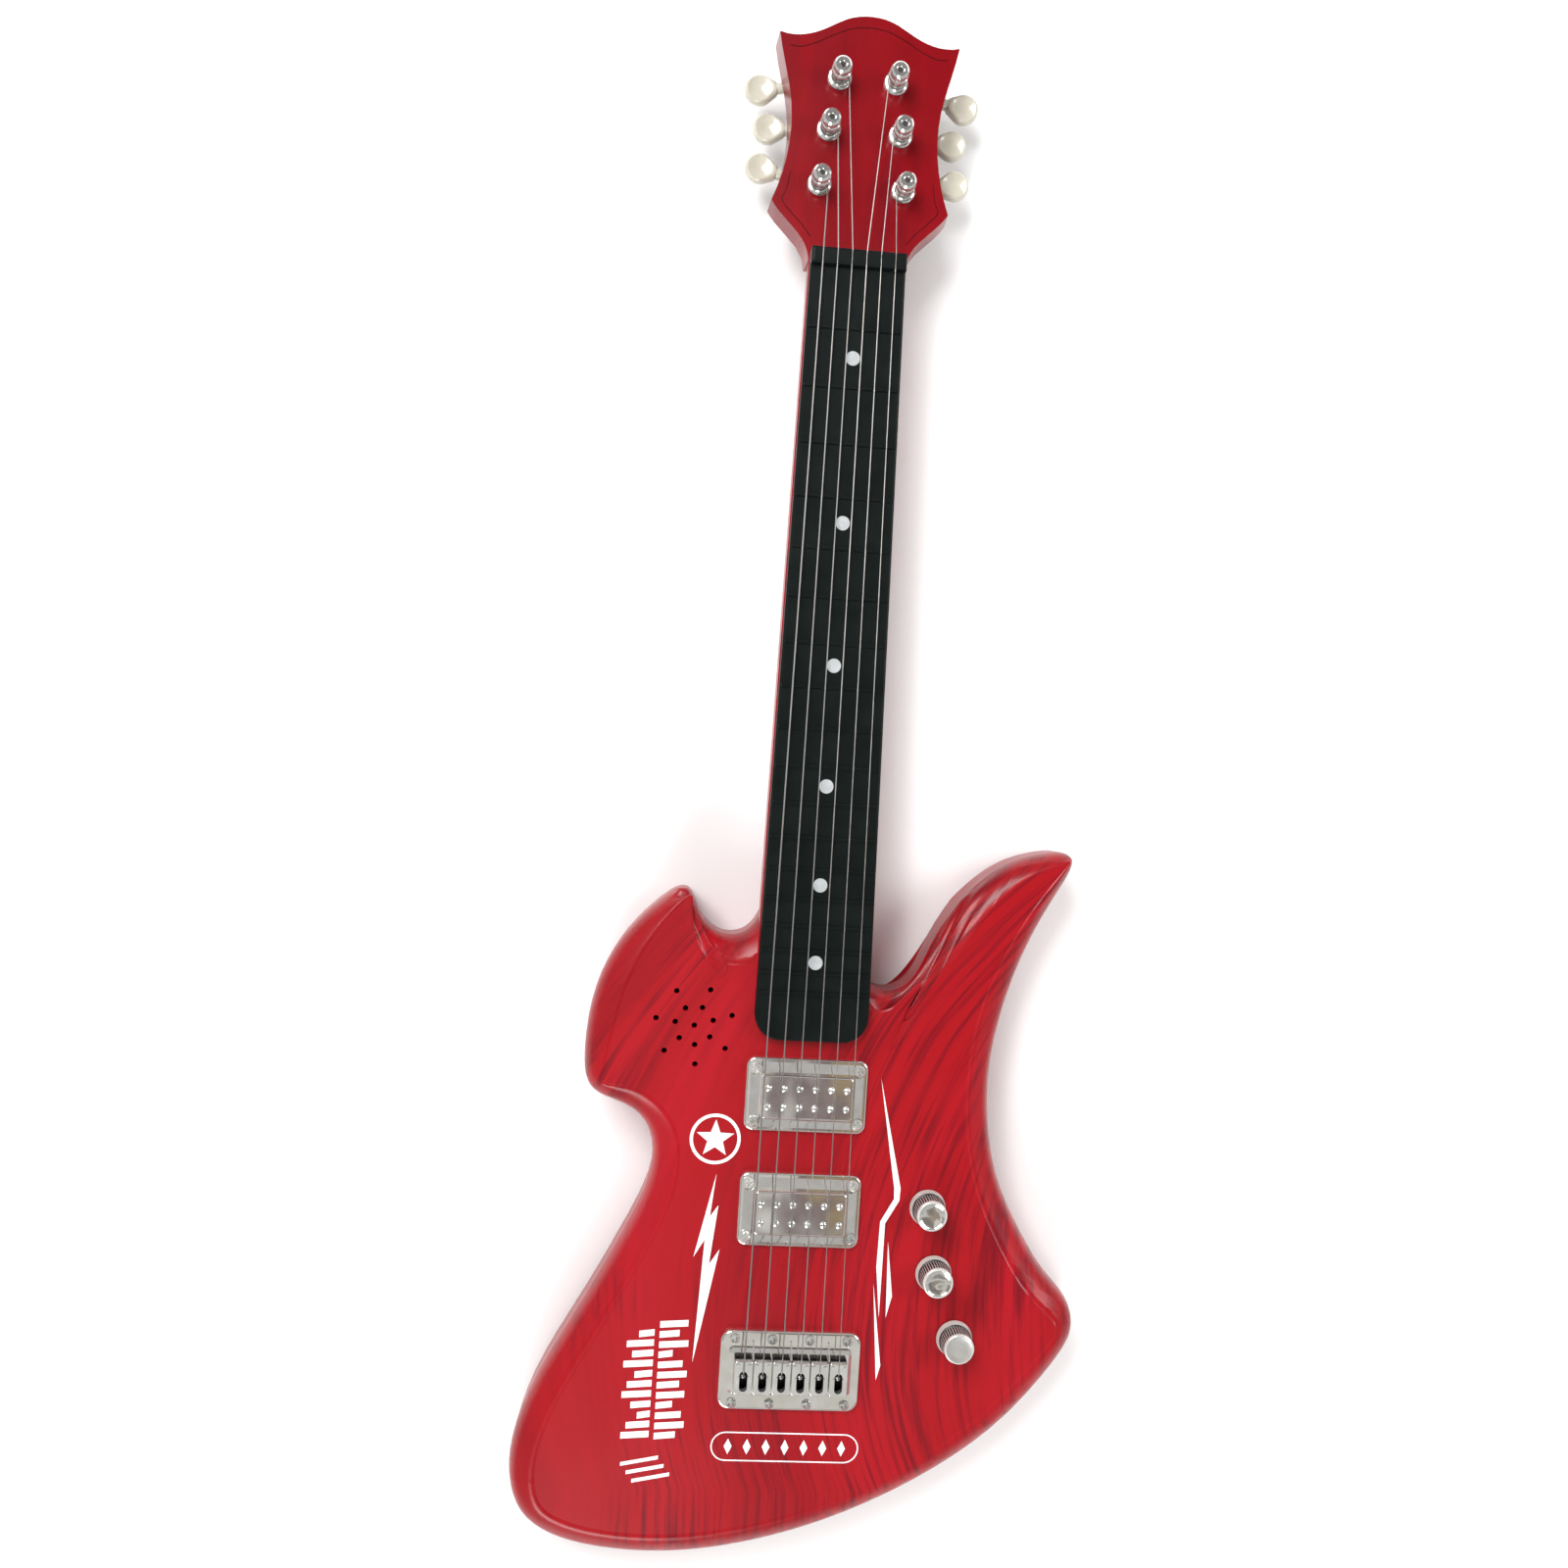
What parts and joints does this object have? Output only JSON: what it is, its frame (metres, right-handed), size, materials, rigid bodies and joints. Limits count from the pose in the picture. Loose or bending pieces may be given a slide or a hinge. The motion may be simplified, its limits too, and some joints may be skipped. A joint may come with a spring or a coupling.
{
  "type": "toy electric guitar",
  "caption": "Toy electric guitar with metal strings, fretted neck, geared tuning machines, turning knobs, two pickups, a bridge and a battery-powered speaker.",
  "frame": {"origin": "centre of the bounding box, on the plane that the back rests on", "axes": "+Y up the neck towards the head, +Z out of the body's face, +X towards the treble side"},
  "size_m": [0.2438, 0.6632, 0.0504],
  "materials": {
    "red_plastic": "glossy red with darker wood-grain print",
    "black_board": "satin black",
    "dot_grey": "pale grey inlay",
    "chrome_plastic": "bright plated",
    "screw_steel": "plated screws",
    "string_steel": "bright drawn wire",
    "machine_steel": "plated pressings",
    "gear_brass": "machined brass",
    "cream_plastic": "polished cream",
    "pot_steel": "plain steel cans",
    "board_green": "green circuit board with black parts",
    "speaker_steel": "black basket and magnet",
    "cone_paper": "black paper cone",
    "cell_jacket": "plain printed steel jacket",
    "lead_red": "soft insulation",
    "lead_black": "soft insulation"
  },
  "bodies": {
    "guitar": {"front_shell": "red_plastic", "back_shell": "red_plastic", "fretboard": "black_board", "fret_dots": "dot_grey", "nut": "black_board", "neck_pickup": "chrome_plastic", "bridge_pickup": "chrome_plastic", "pole_screws": "screw_steel", "pickup_screws": "screw_steel", "bridge_plate": "chrome_plastic", "bridge_saddles": "chrome_plastic", "bridge_screws": "screw_steel", "post_bushes": "chrome_plastic", "tuner_plates": "machine_steel", "tuner_screws": "screw_steel", "potentiometers": "pot_steel", "circuit_board": "board_green", "speaker_frame": "speaker_steel", "speaker_cone": "cone_paper", "batteries": "cell_jacket", "battery_contacts": "pot_steel", "case_screws": "screw_steel", "battery_lead": "lead_red", "speaker_lead": "lead_black", "string_1": "string_steel", "string_2": "string_steel", "string_3": "string_steel", "string_4": "string_steel", "string_5": "string_steel", "string_6": "string_steel"},
    "key_1": {"tuner_button_1": "cream_plastic", "worm_shaft_1": "machine_steel"},
    "post_1": {"string_post_1": "chrome_plastic", "post_gear_1": "gear_brass"},
    "key_2": {"tuner_button_2": "cream_plastic", "worm_shaft_2": "machine_steel"},
    "post_2": {"string_post_2": "chrome_plastic", "post_gear_2": "gear_brass"},
    "key_3": {"tuner_button_3": "cream_plastic", "worm_shaft_3": "machine_steel"},
    "post_3": {"string_post_3": "chrome_plastic", "post_gear_3": "gear_brass"},
    "key_4": {"tuner_button_4": "cream_plastic", "worm_shaft_4": "machine_steel"},
    "post_4": {"string_post_4": "chrome_plastic", "post_gear_4": "gear_brass"},
    "key_5": {"tuner_button_5": "cream_plastic", "worm_shaft_5": "machine_steel"},
    "post_5": {"string_post_5": "chrome_plastic", "post_gear_5": "gear_brass"},
    "key_6": {"tuner_button_6": "cream_plastic", "worm_shaft_6": "machine_steel"},
    "post_6": {"string_post_6": "chrome_plastic", "post_gear_6": "gear_brass"},
    "upper_knob": {"upper_knob": "chrome_plastic"},
    "middle_knob": {"middle_knob": "chrome_plastic"},
    "lower_knob": {"lower_knob": "chrome_plastic"},
    "battery_door": {"battery_door": "red_plastic", "door_screw": "screw_steel"}
  },
  "joints": [
    {"name": "key_1_turn", "type": "hinge", "parent": "guitar", "child": "key_1", "pos_m": [0.01281, 0.26675, 0.016], "axis": [0.9816, 0.1908, 0], "continuous": true},
    {"name": "post_1_turn", "type": "hinge", "parent": "guitar", "child": "post_1", "pos_m": [0.01415, 0.25988, 0.04], "axis": [0, 0, 1], "continuous": true},
    {"name": "key_2_turn", "type": "hinge", "parent": "guitar", "child": "key_2", "pos_m": [0.01179, 0.28998, 0.016], "axis": [0.9994, -0.0349, 0], "continuous": true},
    {"name": "post_2_turn", "type": "hinge", "parent": "guitar", "child": "post_2", "pos_m": [0.01155, 0.28298, 0.04], "axis": [0, 0, 1], "continuous": true},
    {"name": "key_3_turn", "type": "hinge", "parent": "guitar", "child": "key_3", "pos_m": [0.00959, 0.31165, 0.016], "axis": [0.9816, -0.1908, 0], "continuous": true},
    {"name": "post_3_turn", "type": "hinge", "parent": "guitar", "child": "post_3", "pos_m": [0.00825, 0.30478, 0.04], "axis": [0, 0, 1], "continuous": true},
    {"name": "key_4_turn", "type": "hinge", "parent": "guitar", "child": "key_4", "pos_m": [-0.01709, 0.31165, 0.016], "axis": [-0.9816, -0.1908, 0], "continuous": true},
    {"name": "post_4_turn", "type": "hinge", "parent": "guitar", "child": "post_4", "pos_m": [-0.01575, 0.30478, 0.04], "axis": [0, 0, 1], "continuous": true},
    {"name": "key_5_turn", "type": "hinge", "parent": "guitar", "child": "key_5", "pos_m": [-0.01929, 0.28998, 0.016], "axis": [-0.9994, -0.0349, 0], "continuous": true},
    {"name": "post_5_turn", "type": "hinge", "parent": "guitar", "child": "post_5", "pos_m": [-0.01905, 0.28298, 0.04], "axis": [0, 0, 1], "continuous": true},
    {"name": "key_6_turn", "type": "hinge", "parent": "guitar", "child": "key_6", "pos_m": [-0.02031, 0.26675, 0.016], "axis": [-0.9816, 0.1908, 0], "continuous": true},
    {"name": "post_6_turn", "type": "hinge", "parent": "guitar", "child": "post_6", "pos_m": [-0.02165, 0.25988, 0.04], "axis": [0, 0, 1], "continuous": true},
    {"name": "upper_knob_turn", "type": "hinge", "parent": "guitar", "child": "upper_knob", "pos_m": [0.05205, -0.17392, 0.04], "axis": [0, 0, 1], "range_deg": [-135, 135]},
    {"name": "middle_knob_turn", "type": "hinge", "parent": "guitar", "child": "middle_knob", "pos_m": [0.05645, -0.20252, 0.04], "axis": [0, 0, 1], "range_deg": [-135, 135]},
    {"name": "lower_knob_turn", "type": "hinge", "parent": "guitar", "child": "lower_knob", "pos_m": [0.06735, -0.23062, 0.04], "axis": [0, 0, 1], "range_deg": [-135, 135]},
    {"name": "battery_door_swing", "type": "hinge", "parent": "guitar", "child": "battery_door", "pos_m": [0.00125, -0.19172, 0.00145], "axis": [1, 0, 0], "range_deg": [0, 70]}
  ],
  "couplings": [
    {"joint": "post_1_turn", "follows": "key_1_turn", "ratio": 0.071429},
    {"joint": "post_2_turn", "follows": "key_2_turn", "ratio": 0.071429},
    {"joint": "post_3_turn", "follows": "key_3_turn", "ratio": 0.071429},
    {"joint": "post_4_turn", "follows": "key_4_turn", "ratio": 0.071429},
    {"joint": "post_5_turn", "follows": "key_5_turn", "ratio": 0.071429},
    {"joint": "post_6_turn", "follows": "key_6_turn", "ratio": 0.071429}
  ]
}
